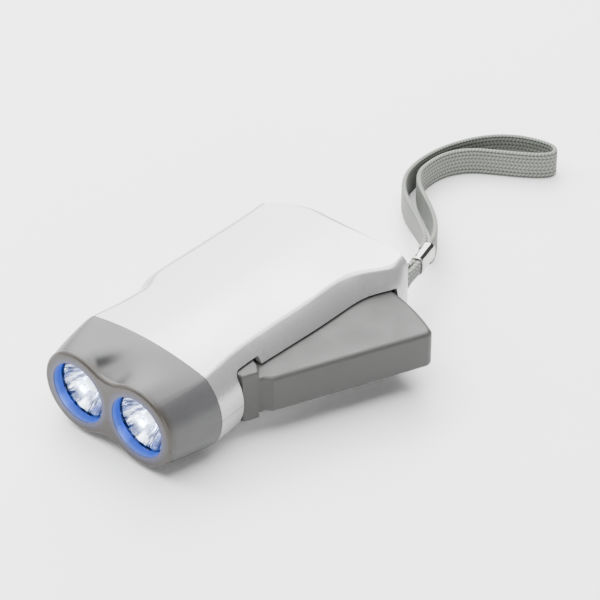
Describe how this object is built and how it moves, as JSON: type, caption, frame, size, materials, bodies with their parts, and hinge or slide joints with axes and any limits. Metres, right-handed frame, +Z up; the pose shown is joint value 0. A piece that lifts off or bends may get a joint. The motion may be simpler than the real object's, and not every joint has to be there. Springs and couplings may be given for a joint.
{
  "type": "hand squeeze dynamo torch",
  "caption": "Pocket torch charged by squeezing a side lever, with a figure-of-eight lamp head, geared dynamo and a wrist strap.",
  "frame": {"origin": "middle of the flat underside that the torch rests on, half way along the body", "axes": "+Y from the lamps to the tail, +X towards the side the lever swings out of, +Z up"},
  "size_m": [0.0849, 0.207, 0.031],
  "materials": {
    "housing": "satin silver paint on moulded plastic",
    "head": "satin grey plastic",
    "lever": "satin mid grey plastic",
    "window": "clear moulded window",
    "reflector": "vacuum plated bowl",
    "led": "water clear lamp body, lit",
    "steel": "drawn steel",
    "spring_steel": "spring wire",
    "gear_white": "natural moulded plastic",
    "gear_black": "black moulded plastic",
    "magnet": "sintered magnet",
    "lamination": "stacked sheet",
    "bobbin": "natural moulded plastic",
    "copper": "enamelled copper winding",
    "board": "green laminate",
    "capacitor": "black sleeve",
    "diode": "black moulded body",
    "wire": "insulated wire",
    "chrome": "polished",
    "webbing": "herringbone braid"
  },
  "bodies": {
    "root": {"top_shell": "housing", "bottom_shell": "housing", "head_bezel": "head", "left_window": "window", "right_window": "window", "left_reflector": "reflector", "right_reflector": "reflector", "left_led": "led", "right_led": "led", "led_board": "board", "led_leads": "wire", "hinge_pin": "steel", "return_spring": "spring_steel", "first_axle": "steel", "second_axle": "steel", "rotor_axle": "steel", "gear_plate": "gear_black", "plate_screws": "steel", "housing_screws": "steel", "stator_core": "lamination", "coil_bobbin": "bobbin", "coil_winding": "copper", "coil_leads": "wire", "circuit_board": "board", "rectifier_diodes": "diode", "storage_capacitor": "capacitor", "strap_bar": "steel", "strap_anchor_loop": "webbing", "strap_ferrule": "chrome", "wrist_strap": "webbing"},
    "lever": {"squeeze_lever": "lever", "sector_gear": "gear_white"},
    "first_gear": {"first_pinion": "gear_white", "first_wheel": "gear_white", "ratchet_pawl": "gear_black"},
    "second_gear": {"second_gear": "gear_white"},
    "rotor": {"flywheel": "gear_black", "magnet_ring": "magnet"}
  },
  "joints": [
    {"name": "lever_squeeze", "type": "hinge", "parent": "root", "child": "lever", "pos_m": [0.0205, -0.0263, 0.0152], "axis": [0, 0, 1], "range_deg": [0, 18], "stiffness_Nm_per_rad": 0.3, "springref_deg": -11.46},
    {"name": "first_gear_spin", "type": "hinge", "parent": "root", "child": "first_gear", "pos_m": [0.00641, 0.00856, 0.0152], "axis": [0, 0, 1], "continuous": true},
    {"name": "second_gear_spin", "type": "hinge", "parent": "root", "child": "second_gear", "pos_m": [-0.0049, 0.01988, 0.0152], "axis": [0, 0, 1], "continuous": true},
    {"name": "rotor_spin", "type": "hinge", "parent": "root", "child": "rotor", "pos_m": [-0.01166, 0.03438, 0.0152], "axis": [0, 0, 1], "continuous": true}
  ],
  "couplings": [
    {"joint": "first_gear_spin", "follows": "lever_squeeze", "ratio": -8.4},
    {"joint": "second_gear_spin", "follows": "lever_squeeze", "ratio": 25.2},
    {"joint": "rotor_spin", "follows": "lever_squeeze", "ratio": -75.6}
  ]
}
